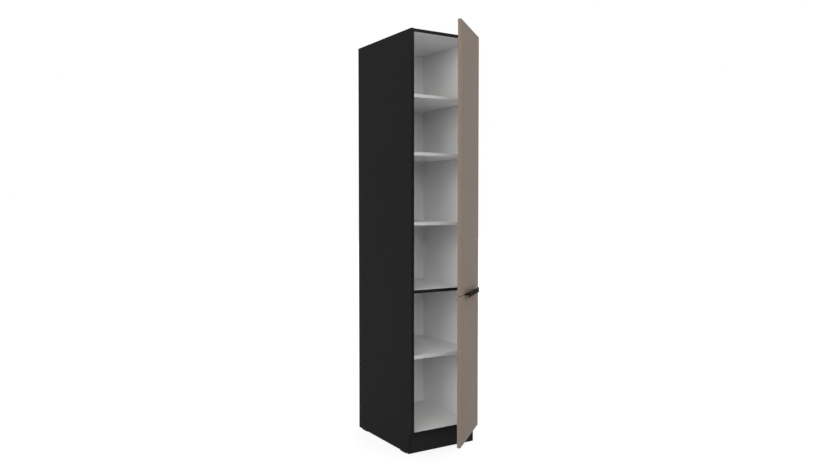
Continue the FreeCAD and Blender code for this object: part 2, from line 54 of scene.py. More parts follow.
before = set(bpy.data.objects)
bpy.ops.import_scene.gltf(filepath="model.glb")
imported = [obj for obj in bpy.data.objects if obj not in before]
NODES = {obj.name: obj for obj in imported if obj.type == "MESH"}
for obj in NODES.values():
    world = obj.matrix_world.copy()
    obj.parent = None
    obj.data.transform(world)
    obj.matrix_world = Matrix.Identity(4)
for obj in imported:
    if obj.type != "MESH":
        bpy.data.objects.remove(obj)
CAD_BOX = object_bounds()
DOORS = ("upper", "lower")
UP = Vector((0, 0, 1))
LEFT = Vector((-1, 0, 0))

# Limits for reading and rounding the solids' meshes
SKIN = 0.0001  # a face this close to a plane counts as lying on it
SAME_CORNER = 0.000001
FLAT_ANGLE = math.radians(0.5)
SHARP_ANGLE = math.radians(40)
ROUNDING_STEPS = 3
NEARLY_UPRIGHT = 0.9  # a direction with more rise than this counts as upright
RIM_SHARE = 0.95  # points this far out belong to a head's rim

# Gloss of the matt surfaces
BLACK_GLOSS = 0.015
WHITE_GLOSS = 0.05
DOOR_GLOSS = 0.02
PULL_GLOSS = 0.004
SILICONE_CLEARNESS = 0.6
SILICONE_IOR = 1.41

# Lowest and highest roughness of each finish
LAMINATE_ROUGHNESS = (0.45, 0.55)
DOOR_ROUGHNESS = (0.5, 0.6)
PULL_ROUGHNESS = (0.4, 0.52)
NICKEL_ROUGHNESS = (0.26, 0.34)
SCREW_ROUGHNESS = (0.24, 0.4)
FITTING_ROUGHNESS = (0.3, 0.46)
MOULD_ROUGHNESS = (0.45, 0.6)
BEECH_ROUGHNESS = (0.5, 0.7)
SILICONE_ROUGHNESS = (0.18, 0.32)

# How far each finish varies, as a share of its colour
LAMINATE_MOTTLE = 0.03
PEARL_LIFT = 0.6
PLINTH_PAINTED_LIGHT = 0.4  # painted light: the plinth's laminate is made lighter than the carcass to stand in for light on the shaded plinth
SEAM_SHADE = -0.35
CHIP_SHADES = (-0.45, 0.35)
FIBRE_MOTTLE = 0.35
DRAW_MOTTLE = 0.25
STAIN_MOTTLE = 0.05
MOULD_MOTTLE = 0.2
BEECH_MOTTLE = 0.2
DUST_MOTTLE = 0.08

# Noise hardly leaves this range, so it is spread from there
NOISE_LOW = 0.3
NOISE_HIGH = 0.7

# Sizes of the finishes' patterns, in metres
CLOUD_SIZE = 0.35
SHEEN_SIZE = 0.02
FIBRE_SIZE = 0.0012
STAIN_SIZE = 0.012
HANDLING_SIZE = 0.004
DENT_SIZE = 0.003
MOULD_SIZE = 0.0006
DUST_SIZE = 0.001

FIBRE_STRETCH = (1.0, 1.0, 0.35)  # the fibres lie upright

# Patterns counted per metre, the drawn out ones along and across
CHIPS_PER_METRE = 420.0
DRAW_LINES = (4, 1200, 1200)
BEECH_GRAIN = (60, 900, 900)

# Strength and height in metres of each raised texture
PEARL_BUMP = (0.06, 0.0002)
DRAW_BUMP = (0.08, 0.0001)
DENT_BUMP = (0.04, 0.0001)
MOULD_BUMP = (0.2, 0.0002)

# Shares of a radius, a height or a length in the small round fittings
HEAD_TAPER = 0.78
BUMPER_TAPER = 0.72
BAR_LENGTH = 1.15
BAR_WIDTH = 0.26
SHANK_DROP = -0.49  # the shank's end stays inside the head
CAM_BAR_SPAN = 0.75
CAM_BAR_LEVEL = 0.85
CAM_RECESS = 1 / 3

# Turn to the right of the front and rise of each lamp, in degrees
LAMPS = {"key": (-28, 22), "side": (-61, 21), "fill": (38, 36), "back": (160, 20)}
LAMP_REACH = 8.0  # far lamps light the top and the foot alike
LAMP_SIZE = 4.0
FLOOR_REACH = 20.0
FLOOR_PALE = (0.75, 0.75, 0.75, 1)
WHITE = (1, 1, 1, 1)


# Settings that a user would change

class CabinetFinish(bpy.types.PropertyGroup):
    """Colours of the boards, the doors and the fittings."""

    carcass_black: FloatVectorProperty(
        name="Carcass", description="Laminate outside the carcass and on its front edges",
        subtype="COLOR", size=3, min=0, max=1, default=(0.0135, 0.0135, 0.0137))
    inside_white: FloatVectorProperty(
        name="Inside", description="Laminate inside the carcass and on the shelves",
        subtype="COLOR", size=3, min=0, max=1, default=(0.87, 0.87, 0.87))
    # Partly a greyer edge band and partly painted shade: the front-facing shelf edges are darkened
    # against the strong light of the front lamps
    band_white: FloatVectorProperty(
        name="Shelf bands", description="Edge bands of the shelves, a shade greyer than the laminate",
        subtype="COLOR", size=3, min=0, max=1, default=(0.60, 0.60, 0.60))
    door_taupe: FloatVectorProperty(
        name="Doors", description="Laminate of both doors",
        subtype="COLOR", size=3, min=0, max=1, default=(0.197, 0.161, 0.132))
    pull_black: FloatVectorProperty(
        name="Pulls", description="Anodised skin of the edge pulls",
        subtype="COLOR", size=3, min=0, max=1, default=(0.007, 0.007, 0.0075))
    nickel: FloatVectorProperty(
        name="Hinges", description="Nickel plating of the hinges",
        subtype="COLOR", size=3, min=0, max=1, default=(0.66, 0.65, 0.62))
    zinc: FloatVectorProperty(
        name="Fasteners", description="Zinc plating of screws, cams and pins",
        subtype="COLOR", size=3, min=0, max=1, default=(0.52, 0.54, 0.57))
    glide_black: FloatVectorProperty(
        name="Glides", description="Moulded plastic of the floor glides",
        subtype="COLOR", size=3, min=0, max=1, default=(0.016, 0.016, 0.016))
    chipboard: FloatVectorProperty(
        name="Chipboard", description="Raw board core where no laminate covers it",
        subtype="COLOR", size=3, min=0, max=1, default=(0.42, 0.29, 0.17))
    hardboard: FloatVectorProperty(
        name="Hardboard", description="Raw rear face of the back panel",
        subtype="COLOR", size=3, min=0, max=1, default=(0.25, 0.15, 0.08))
    beech: FloatVectorProperty(
        name="Dowels", description="Raw beech of the dowels",
        subtype="COLOR", size=3, min=0, max=1, default=(0.60, 0.42, 0.25))
    silicone: FloatVectorProperty(
        name="Bumpers", description="Clear silicone of the door bumpers",
        subtype="COLOR", size=3, min=0, max=1, default=(0.72, 0.73, 0.72))


class CabinetDetail(bpy.types.PropertyGroup):
    """Sizes of the small forms that the finish adds."""

    band_rounding: FloatProperty(
        name="Band rounding", description="Rounding of the edge bands' long edges",
        unit="LENGTH", min=0, default=0.00045)
    pull_rounding: FloatProperty(
        name="Pull rounding", description="Rounding of the pulls' profile",
        unit="LENGTH", min=0, default=0.00035)
    seam_inset: FloatProperty(
        name="Seam inset", description="Distance of a door's edge band seam from its edge",
        unit="LENGTH", min=0, default=0.001)
    grain_size: FloatProperty(
        name="Grain", description="Size of the fine pearl grain of the laminate",
        unit="LENGTH", min=0.0001, default=0.0007)
    facets: IntProperty(
        name="Facets", description="Sides of each round screw head, cam and bumper",
        min=8, default=24)


class CabinetStudio(bpy.types.PropertyGroup):
    """Camera, lamps and background."""

    camera_place: FloatVectorProperty(
        name="Camera", description="Place of the camera", subtype="TRANSLATION", size=3,
        default=(-2.0653, -3.3076, 1.2445))
    camera_yaw: FloatProperty(
        name="Yaw", description="Turn of the view to the right of straight ahead",
        subtype="ANGLE", default=math.radians(31.724))
    camera_pitch: FloatProperty(
        name="Pitch", description="Tilt of the view above the horizon",
        subtype="ANGLE", default=math.radians(-2.174))
    camera_lens: FloatProperty(
        name="Lens", description="Focal length on a 36 mm wide sensor", unit="CAMERA", default=31.497)
    sky: FloatProperty(
        name="Sky", description="Strength of the even light from all sides", min=0, default=0.5)
    key_power: FloatProperty(
        name="Key", description="Power of the soft lamp left of the front", unit="POWER",
        default=210.0)
    side_power: FloatProperty(
        name="Side", description="Power of the soft lamp on the left", unit="POWER", default=186.0)
    back_power: FloatProperty(
        name="Back", description="Power of the soft lamp behind the cabinet", unit="POWER",
        default=140.0)
    fill_power: FloatProperty(
        name="Fill", description="Power of the soft lamp on the right", unit="POWER", default=212.0)
    shadow_share: FloatProperty(
        name="Shadow", description="How much of the floor's own shade shows close to the cabinet",
        min=0, max=1, default=0.35)
    floor_glow: FloatProperty(
        name="Floor glow", min=0, default=1.2,
        description="White of the floor as seen, so that its bare part is plain white")
    shadow_reach: FloatProperty(
        name="Shadow reach", description="Distance at which the floor is plain white again",
        unit="LENGTH", min=0.1, default=2.2)


# Node helpers

def add_node(tree, kind, inputs=(), **settings):
    """Adds a node, sets its fields, and fills its inputs with values or links."""
    node = tree.nodes.new(kind)
    for key, value in settings.items():
        setattr(node, key, value)
    for key, value in dict(inputs).items():
        if isinstance(value, bpy.types.NodeSocket):
            tree.links.new(value, node.inputs[key])
        else:
            node.inputs[key].default_value = value
    return node


def maths(tree, operation, *values):
    """The result of a sum or test of values, each a socket or a number."""
    return add_node(tree, "ShaderNodeMath", enumerate(values), operation=operation).outputs[0]


def new_finish(name):
    """A material with its tree, its shader and the object coordinates."""
    material = bpy.data.materials.new(name)
    material.use_nodes = True
    tree = material.node_tree
    shader = tree.nodes["Principled BSDF"]
    place = add_node(tree, "ShaderNodeTexCoord").outputs["Object"]
    return material, tree, shader, place


def stretched(tree, place, turn, scale):
    """Coordinates turned about the upright axis and scaled on each axis."""
    mapping = add_node(tree, "ShaderNodeMapping", {
        "Vector": place, "Rotation": (0, 0, turn), "Scale": scale})
    return mapping.outputs["Vector"]


def noise(tree, place, size, detail=2.0):
    """Noise from 0 to 1 whose blotches have about the given size."""
    node = add_node(tree, "ShaderNodeTexNoise", {"Vector": place, "Scale": 1 / size, "Detail": detail})
    return node.outputs["Fac"]


def spread(tree, factor, low, high):
    """Maps noise, which stays near its middle, onto a range."""
    node = add_node(tree, "ShaderNodeMapRange", {
        "Value": factor, "From Min": NOISE_LOW, "From Max": NOISE_HIGH, "To Min": low, "To Max": high})
    return node.outputs["Result"]


def blend(tree, factor, first, second):
    """Mixes two colours, each a socket or a fixed colour."""
    node = add_node(tree, "ShaderNodeMix", data_type="RGBA")
    for index, value in ((0, factor), (6, first), (7, second)):
        if isinstance(value, bpy.types.NodeSocket):
            tree.links.new(value, node.inputs[index])
        elif index:
            node.inputs[index].default_value = (*value, 1)
        else:
            node.inputs[index].default_value = value
    return node.outputs[2]


def shade(colour, share):
    """A colour made darker or lighter by a share of itself."""
    return tuple(min(1.0, channel * (1 + share)) for channel in colour)


def mottle(tree, factor, colour, share):
    """A colour that varies by a share of itself either way."""
    return blend(tree, spread(tree, factor, 0, 1), shade(colour, -share), shade(colour, share))


def beyond(tree, place, axis, limit, above):
    """1 where a coordinate is above, or below, a limit."""
    split = add_node(tree, "ShaderNodeSeparateXYZ", {"Vector": place})
    return maths(tree, "GREATER_THAN" if above else "LESS_THAN", split.outputs[axis], limit)


def bump(tree, shader, height, strength, distance):
    """Raises the surface by a height map."""
    node = add_node(tree, "ShaderNodeBump", {
        "Height": height, "Strength": strength, "Distance": distance})
    tree.links.new(node.outputs["Normal"], shader.inputs["Normal"])


def paint(shader, tree, colour, roughness):
    """Links a colour and a roughness to the shader."""
    tree.links.new(colour, shader.inputs["Base Color"])
    tree.links.new(roughness, shader.inputs["Roughness"])


# Finishes

def laminate_colour(tree, place, colour):
    """Laminate: a faint cloud over the sheet and a fine grain."""
    grain = bpy.context.scene.cabinet_detail.grain_size
    cloud = mottle(tree, noise(tree, place, CLOUD_SIZE), colour, LAMINATE_MOTTLE)
    pearls = spread(tree, noise(tree, place, grain), 0, LAMINATE_MOTTLE)
    return blend(tree, pearls, cloud, shade(colour, PEARL_LIFT))


def laminate_skin(tree, shader, place, roughness, gloss):
    """Roughness and pearl texture that every laminate shares."""
    shader.inputs["Specular IOR Level"].default_value = gloss
    grain = bpy.context.scene.cabinet_detail.grain_size
    pearl = noise(tree, place, grain, detail=3.0)
    bump(tree, shader, pearl, *PEARL_BUMP)
    return spread(tree, noise(tree, place, SHEEN_SIZE), *roughness)


def chipboard_colour(tree, place):
    """Pressed chips in several shades of wood."""
    colour = bpy.context.scene.cabinet_finish.chipboard
    chips = add_node(tree, "ShaderNodeTexVoronoi", {"Vector": place, "Scale": CHIPS_PER_METRE})
    tone = add_node(tree, "ShaderNodeSeparateColor", {"Color": chips.outputs["Color"]})
    dark, light = (shade(colour, share) for share in CHIP_SHADES)
    return blend(tree, tone.outputs["Red"], dark, light)


def hardboard_colour(tree, place):
    """Matted wood fibres."""
    colour = bpy.context.scene.cabinet_finish.hardboard
    fibres = stretched(tree, place, 0.0, FIBRE_STRETCH)
    return mottle(tree, noise(tree, fibres, FIBRE_SIZE, detail=6.0), colour, FIBRE_MOTTLE)


def laminate(name, colour, gloss):
    """One laminate all over."""
    material, tree, shader, place = new_finish(name)
    sheet = laminate_colour(tree, place, colour)
    paint(shader, tree, sheet, laminate_skin(tree, shader, place, LAMINATE_ROUGHNESS, gloss))
    return material


def faced_board(name, core, faces, gloss):
    """A board with a cover on each face (axis, limit, above, cover), and its core elsewhere."""
    material, tree, shader, place = new_finish(name)
    colour = core(tree, place)
    for axis, limit, above, cover in faces:
        sheet = cover(tree, place) if callable(cover) else laminate_colour(tree, place, cover)
        colour = blend(tree, beyond(tree, place, axis, limit, above), colour, sheet)
    paint(shader, tree, colour, laminate_skin(tree, shader, place, LAMINATE_ROUGHNESS, gloss))
    return material


def door_laminate(name, node, normal):
    """Door laminate with the fine seam of the edge band round both faces."""
    finish = bpy.context.scene.cabinet_finish
    detail = bpy.context.scene.cabinet_detail
    material, tree, shader, place = new_finish(name)
    turn = -math.atan2(normal.x, -normal.y)
    along = stretched(tree, place, turn, (1, 1, 1))
    corners = [turned(vertex.co, turn) for vertex in NODES[node].data.vertices]
    sheet = laminate_colour(tree, place, finish.door_taupe)
    split = add_node(tree, "ShaderNodeSeparateXYZ", {"Vector": along})
    seams = 0.0
    for axis in ("X", "Z"):
        reach = [getattr(corner, axis.lower()) for corner in corners]
        for edge in (min(reach) + detail.seam_inset, max(reach) - detail.seam_inset):
            line = maths(tree, "COMPARE", split.outputs[axis], edge, SKIN)
            seams = maths(tree, "MAXIMUM", seams, line)
    colour = blend(tree, seams, sheet, shade(finish.door_taupe, SEAM_SHADE))
    paint(shader, tree, colour, laminate_skin(tree, shader, place, DOOR_ROUGHNESS, DOOR_GLOSS))
    return material


def turned(point, angle):
    """A point turned about the upright axis through the origin."""
    cosine = math.cos(angle)
    sine = math.sin(angle)
    return Vector((cosine * point.x - sine * point.y, sine * point.x + cosine * point.y, point.z))


def anodised(name, colour, turn):
    """Black anodised aluminium with draw lines along the profile."""
    material, tree, shader, place = new_finish(name)
    lines = noise(tree, stretched(tree, place, turn, DRAW_LINES), 1.0, detail=4.0)
    paint(shader, tree, mottle(tree, lines, colour, DRAW_MOTTLE), spread(tree, lines, *PULL_ROUGHNESS))
    shader.inputs["Specular IOR Level"].default_value = PULL_GLOSS
    bump(tree, shader, lines, *DRAW_BUMP)
    return material


def plated(name, colour, roughness):
    """Plated steel with faint stains and handling marks."""
    material, tree, shader, place = new_finish(name)
    stains = noise(tree, place, STAIN_SIZE, detail=4.0)
    marks = noise(tree, place, HANDLING_SIZE, detail=3.0)
    paint(shader, tree, mottle(tree, stains, colour, STAIN_MOTTLE), spread(tree, marks, *roughness))
    shader.inputs["Metallic"].default_value = 1.0
    bump(tree, shader, noise(tree, place, DENT_SIZE), *DENT_BUMP)
    return material


def moulded(name, colour):
    """Moulded plastic with a spark-eroded skin."""
    material, tree, shader, place = new_finish(name)
    skin = noise(tree, place, MOULD_SIZE, detail=3.0)
    paint(shader, tree, mottle(tree, skin, colour, MOULD_MOTTLE), spread(tree, skin, *MOULD_ROUGHNESS))
    bump(tree, shader, skin, *MOULD_BUMP)
    return material


def turned_beech(name, colour):
    """Beech with its grain along the dowels."""
    material, tree, shader, place = new_finish(name)
    grain = noise(tree, stretched(tree, place, 0.0, BEECH_GRAIN), 1.0, detail=4.0)
    paint(shader, tree, mottle(tree, grain, colour, BEECH_MOTTLE), spread(tree, grain, *BEECH_ROUGHNESS))
    return material


def clear_silicone(name, colour):
    """Soft clear pads with a dusty skin."""
    material, tree, shader, place = new_finish(name)
    dust = noise(tree, place, DUST_SIZE, detail=3.0)
    paint(shader, tree, mottle(tree, dust, colour, DUST_MOTTLE), spread(tree, dust, *SILICONE_ROUGHNESS))
    shader.inputs["Transmission Weight"].default_value = SILICONE_CLEARNESS
    shader.inputs["IOR"].default_value = SILICONE_IOR
    return material


# Mesh helpers

def wear(material, *names):
    """Gives CAD nodes a material."""
    for name in names:
        NODES[name].material_slots[0].material = material


def add_piece(name, mesh, body, slot, *replaced):
    """Links a mesh as a piece that rides on a body and stands for CAD nodes."""
    piece = bpy.data.objects.new(name, mesh)
    bpy.context.scene.collection.objects.link(piece)
    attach(piece, body)
    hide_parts(*replaced)


def merged_copy(node):
    """A CAD node's mesh with its corners joined."""
    shape = bmesh.new()
    shape.from_mesh(NODES[node].data)
    bmesh.ops.remove_doubles(shape, verts=shape.verts, dist=SAME_CORNER)
    return shape


def rounded_copy(node, name, rounding, material, front=math.inf):
    """A CAD node's shape with its sharp edges rounded, or only those in front of a plane."""
    shape = merged_copy(node)
    bmesh.ops.dissolve_limit(shape, angle_limit=FLAT_ANGLE, verts=shape.verts, edges=shape.edges)
    sharp = [edge for edge in shape.edges
             if edge.is_manifold and edge.calc_face_angle() > SHARP_ANGLE
             and all(vertex.co.y < front for vertex in edge.verts)]
    bmesh.ops.bevel(shape, geom=sharp, offset=rounding, segments=ROUNDING_STEPS, profile=0.5,
                    affect="EDGES", clamp_overlap=True)
    mesh = bpy.data.meshes.new(name)
    shape.to_mesh(mesh)
    shape.free()
    mesh.materials.append(material)
    return mesh


def loose_parts(node):
    """The corner points of each separate solid of a CAD node."""
    shape = merged_copy(node)
    left = set(shape.verts)
    parts = []
    for start in shape.verts:
        if start not in left:
            continue
        left.remove(start)
        queue = [start]
        points = []
        while queue:
            vertex = queue.pop()
            points.append(vertex.co.copy())
            for edge in vertex.link_edges:
                other = edge.other_vert(vertex)
                if other in left:
                    left.remove(other)
                    queue.append(other)
        parts.append(points)
    shape.free()
    return parts


def door_normal(door):
    """The outward normal of a door's front, which is its largest flat face."""
    return max(NODES[door + "_door"].data.polygons, key=lambda face: face.area).normal.copy()


def round_sizes(points, outward):
    """Seat, head radius, head height, shank radius and shank length of a headed round solid."""
    side = outward.cross(UP) if abs(outward.z) < NEARLY_UPRIGHT else LEFT.copy()
    side.normalize()
    other = outward.cross(side)
    middle = Vector((0, 0, 0))
    for axis in (side, other):
        reach = [point.dot(axis) for point in points]
        middle += axis * (min(reach) + max(reach)) / 2
    depths = [point.dot(outward) for point in points]
    radii = [(point - middle - outward * depth).length for point, depth in zip(points, depths)]
    head_radius = max(radii)
    head = [depth for depth, radius in zip(depths, radii) if radius > RIM_SHARE * head_radius]
    under = min(head)
    shank = [radius for depth, radius in zip(depths, radii) if depth < under - SKIN and radius > SKIN]
    seat = middle + outward * under
    return seat, head_radius, max(head) - under, max(shank, default=0.0), under - min(depths)


# Geometry Nodes trees

def new_tree(name, sizes):
    """A Geometry Nodes tree with a geometry input and named sizes."""
    tree = bpy.data.node_groups.new(name, "GeometryNodeTree")
    tree.interface.new_socket("Geometry", in_out="INPUT", socket_type="NodeSocketGeometry")
    for size in sizes:
        kind = "NodeSocketInt" if size == "Facets" else "NodeSocketFloat"
        tree.interface.new_socket(size, in_out="INPUT", socket_type=kind)
    tree.interface.new_socket("Geometry", in_out="OUTPUT", socket_type="NodeSocketGeometry")
    return tree, add_node(tree, "NodeGroupInput").outputs


def times(tree, value, factor):
    """A size multiplied by a factor."""
    return maths(tree, "MULTIPLY", value, factor)


def lifted(tree, geometry, height):
    """A shape moved along its own axis."""
    shift = add_node(tree, "ShaderNodeCombineXYZ", {"Z": height})
    moved = add_node(tree, "GeometryNodeTransform", {
        "Geometry": geometry, "Translation": shift.outputs[0]})
    return moved.outputs["Geometry"]


def cross_recess(tree, radius, height):
    """Two crossed bars that cut a driver recess into a head."""
    bars = []
    for long_axis, short_axis in (("X", "Y"), ("Y", "X")):
        size = add_node(tree, "ShaderNodeCombineXYZ", {
            long_axis: times(tree, radius, BAR_LENGTH), short_axis: times(tree, radius, BAR_WIDTH),
            "Z": height})
        bar = add_node(tree, "GeometryNodeMeshCube", {"Size": size.outputs[0]})
        bars.append(lifted(tree, bar.outputs["Mesh"], height))
    return bars


def boolean(tree, operation, first, others):
    """Joins shapes, or cuts the others from the first."""
    node = add_node(tree, "GeometryNodeMeshBoolean", operation=operation, solver="MANIFOLD")
    if operation == "DIFFERENCE":
        tree.links.new(first, node.inputs["Mesh 1"])
    else:
        others = [first, *others]
    for other in others:
        tree.links.new(other, node.inputs["Mesh 2"])
    return node.outputs["Mesh"]


def place_copies(tree, points, shape, material):
    """Copies a shape to each point, along the point's outward direction, as one real mesh."""
    outward = add_node(tree, "GeometryNodeInputNamedAttribute", {"Name": "outward"},
                       data_type="FLOAT_VECTOR")
    turn = add_node(tree, "FunctionNodeAlignRotationToVector",
                    {"Vector": outward.outputs["Attribute"]}, axis="Z")
    copies = add_node(tree, "GeometryNodeInstanceOnPoints", {
        "Points": points, "Instance": shape, "Rotation": turn.outputs["Rotation"]})
    real = add_node(tree, "GeometryNodeRealizeInstances", {"Geometry": copies.outputs["Instances"]})
    coated = add_node(tree, "GeometryNodeSetMaterial", {
        "Geometry": real.outputs["Geometry"], "Material": material})
    add_node(tree, "NodeGroupOutput", {"Geometry": coated.outputs["Geometry"]})


def screw_tree(material):
    """A pan head with a cross recess on a plain shank."""
    tree, given = new_tree("screws", (
        "Facets", "Head radius", "Head height", "Shank radius", "Shank length"))
    head = add_node(tree, "GeometryNodeMeshCone", {
        "Vertices": given["Facets"], "Radius Bottom": given["Head radius"],
        "Radius Top": times(tree, given["Head radius"], HEAD_TAPER), "Depth": given["Head height"]})
    shank = add_node(tree, "GeometryNodeMeshCylinder", {
        "Vertices": given["Facets"], "Radius": given["Shank radius"], "Depth": given["Shank length"]})
    lowered = lifted(tree, shank.outputs["Mesh"], times(tree, given["Shank length"], SHANK_DROP))
    whole = boolean(tree, "UNION", head.outputs["Mesh"], [lowered])
    bars = cross_recess(tree, given["Head radius"], given["Head height"])
    place_copies(tree, given["Geometry"], boolean(tree, "DIFFERENCE", whole, bars), material)
    return tree


def cam_tree(material):
    """A flat cam disc with a cross recess in its open face."""
    tree, given = new_tree("cams", ("Facets", "Radius", "Height", "Recess"))
    disc = add_node(tree, "GeometryNodeMeshCylinder", {
        "Vertices": given["Facets"], "Radius": given["Radius"], "Depth": given["Height"]})
    raised = lifted(tree, disc.outputs["Mesh"], times(tree, given["Height"], 0.5))
    bars = cross_recess(tree, times(tree, given["Radius"], CAM_BAR_SPAN), given["Recess"])
    bars = [lifted(tree, bar, times(tree, given["Height"], CAM_BAR_LEVEL)) for bar in bars]
    place_copies(tree, given["Geometry"], boolean(tree, "DIFFERENCE", raised, bars), material)
    return tree


def bumper_tree(material):
    """A low pad with a sloping rim."""
    tree, given = new_tree("bumpers", ("Facets", "Radius", "Height"))
    base = add_node(tree, "GeometryNodeMeshCone", {
        "Vertices": given["Facets"], "Radius Bottom": given["Radius"],
        "Radius Top": times(tree, given["Radius"], BUMPER_TAPER), "Depth": given["Height"]})
    place_copies(tree, given["Geometry"], base.outputs["Mesh"], material)
    return tree


def grown(name, tree, sizes, points, directions):
    """Runs a tree on a cloud of points and returns the plain mesh."""
    cloud = bpy.data.meshes.new(name + "_points")
    cloud.from_pydata(points, [], [])
    outward = cloud.attributes.new("outward", "FLOAT_VECTOR", "POINT")
    for entry, direction in zip(outward.data, directions):
        entry.vector = direction
    maker = bpy.data.objects.new(name + "_maker", cloud)
    bpy.context.scene.collection.objects.link(maker)
    modifier = maker.modifiers.new("Copies", "NODES")
    modifier.node_group = tree
    for socket in tree.interface.items_tree:
        if socket.name in sizes and socket.in_out == "INPUT":
            modifier[socket.identifier] = sizes[socket.name]
    bpy.context.view_layer.update()
    graph = bpy.context.evaluated_depsgraph_get()
    mesh = bpy.data.meshes.new_from_object(maker.evaluated_get(graph), depsgraph=graph)
    mesh.name = name
    maker.modifiers.remove(modifier)
    bpy.data.objects.remove(maker)
    return mesh


# Operators, one for each group of pieces

class CABINET_OT_boards(bpy.types.Operator):
    """Finish the carcass boards: dark outside, pale inside, raw core where no laminate covers it"""

    bl_idname = "cabinet.boards"
    bl_label = "Carcass boards"

    def execute(self, context):
        finish = context.scene.cabinet_finish
        black = finish.carcass_black
        white = finish.inside_white
        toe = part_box("bottom_panel")[0].z
        for side, above in (("left", True), ("right", False)):
            low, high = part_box("side_panel_" + side)
            inner = high.x - SKIN if above else low.x + SKIN
            outer = low.x + SKIN if above else high.x - SKIN
            faces = (("X", outer, not above, black),
                     ("Z", high.z - SKIN, True, black),
                     ("X", inner, above, white),
                     ("Z", toe + SKIN, False, black),
                     ("Y", low.y + SKIN, False, black),
                     ("Y", high.y - SKIN, True, chipboard_colour),
                     ("Z", low.z + SKIN, False, chipboard_colour))
            board = faced_board("board_" + side, chipboard_colour, faces, BLACK_GLOSS)
            wear(board, "side_panel_" + side)
        for name, top_face, under_face in (("top_panel", black, white),
                                           ("bottom_panel", white, black)):
            low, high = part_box(name)
            faces = (("Z", high.z - SKIN, True, top_face), ("Z", low.z + SKIN, False, under_face))
            wear(faced_board("board_" + name, chipboard_colour, faces, WHITE_GLOSS), name)
        low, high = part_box("back_panel")
        faces = (("Y", (low.y + high.y) / 2, False, white),)
        wear(faced_board("board_back", hardboard_colour, faces, WHITE_GLOSS), "back_panel")
        low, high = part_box("rear_rails")
        faces = (("Y", low.y + SKIN, False, white), ("Y", high.y - SKIN, True, white))
        wear(faced_board("board_rails", chipboard_colour, faces, WHITE_GLOSS), "rear_rails")
        inside = laminate("laminate_inside", white, WHITE_GLOSS)
        wear(inside, "fixed_shelf", "shelf_1", "shelf_2", "shelf_3", "shelf_4")
        # Painted light: the plinth wears the carcass laminate made lighter, standing in for light that
        # its shaded place under the doors does not get
        wear(laminate("laminate_plinth", shade(black, PLINTH_PAINTED_LIGHT), BLACK_GLOSS), "plinth_board")
        return {"FINISHED"}


class CABINET_OT_bands(bpy.types.Operator):
    """Make the edge bands with rounded edges"""

    bl_idname = "cabinet.bands"
    bl_label = "Edge bands"

    def execute(self, context):
        finish = context.scene.cabinet_finish
        rounding = context.scene.cabinet_detail.band_rounding
        black = laminate("band_black", finish.carcass_black, BLACK_GLOSS)
        # The shelf bands' colour is partly a greyer band and partly painted shade on the front-facing
        # edges
        white = laminate("band_white", finish.band_white, WHITE_GLOSS)
        for node, material, slot in (("side_edge_bands", black, "carcass_black"),
                                     ("panel_edge_bands", black, "carcass_black"),
                                     ("shelf_edge_bands", white, "interior_white")):
            name = node.replace("bands", "strips")
            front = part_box(node)[0].y + SKIN
            add_piece(name, rounded_copy(node, name, rounding, material, front), "carcass", slot, node)
        return {"FINISHED"}


class CABINET_OT_doors(bpy.types.Operator):
    """Finish both doors"""

    bl_idname = "cabinet.doors"
    bl_label = "Doors"

    def execute(self, context):
        for door in DOORS:
            node = door + "_door"
            wear(door_laminate(node + "_laminate", node, door_normal(door)), node)
        return {"FINISHED"}


class CABINET_OT_pulls(bpy.types.Operator):
    """Make the edge pulls with a rounded profile and draw lines"""

    bl_idname = "cabinet.pulls"
    bl_label = "Edge pulls"

    def execute(self, context):
        finish = context.scene.cabinet_finish
        rounding = context.scene.cabinet_detail.pull_rounding
        for door in DOORS:
            normal = door_normal(door)
            turn = -math.atan2(normal.x, -normal.y)
            material = anodised(door + "_pull_black", finish.pull_black, turn)
            mesh = rounded_copy(door + "_pull", door + "_pull_profile", rounding, material)
            add_piece(door + "_pull_profile", mesh, door + "_door", "pull_black", door + "_pull")
        return {"FINISHED"}


class CABINET_OT_hinges(bpy.types.Operator):
    """Finish the cup hinges"""

    bl_idname = "cabinet.hinges"
    bl_label = "Hinges"

    def execute(self, context):
        nickel = plated("nickel_plating", context.scene.cabinet_finish.nickel, NICKEL_ROUGHNESS)
        wear(nickel, "hinge_plates", "hinge_arms", "arm_pins")
        for door in DOORS:
            for piece in ("hinge_cups", "cup_pins", "outer_links", "inner_links"):
                wear(nickel, door + "_" + piece)
        return {"FINISHED"}


class CABINET_OT_screws(bpy.types.Operator):
    """Make every visible screw with a cross recess"""

    bl_idname = "cabinet.screws"
    bl_label = "Screws"

    def execute(self, context):
        zinc = context.scene.cabinet_finish.zinc
        tree = screw_tree(plated("zinc_screws", zinc, SCREW_ROUGHNESS))
        groups = [("plate_screws", "carcass", LEFT), ("arm_screws", "carcass", LEFT)]
        for door in DOORS:
            inward = -door_normal(door)
            groups.append((door + "_cup_screws", door + "_door", inward))
            groups.append((door + "_pull_screws", door + "_door", inward))
        for node, body, outward in groups:
            solids = [round_sizes(points, outward) for points in loose_parts(node)]
            seats = [solid[0] for solid in solids]
            names = ("Head radius", "Head height", "Shank radius", "Shank length")
            sizes = dict(zip(names, solids[0][1:]), Facets=context.scene.cabinet_detail.facets)
            mesh = grown(node + "_heads", tree, sizes, seats, [outward] * len(seats))
            add_piece(node + "_heads", mesh, body, "zinc_fittings", node)
        return {"FINISHED"}


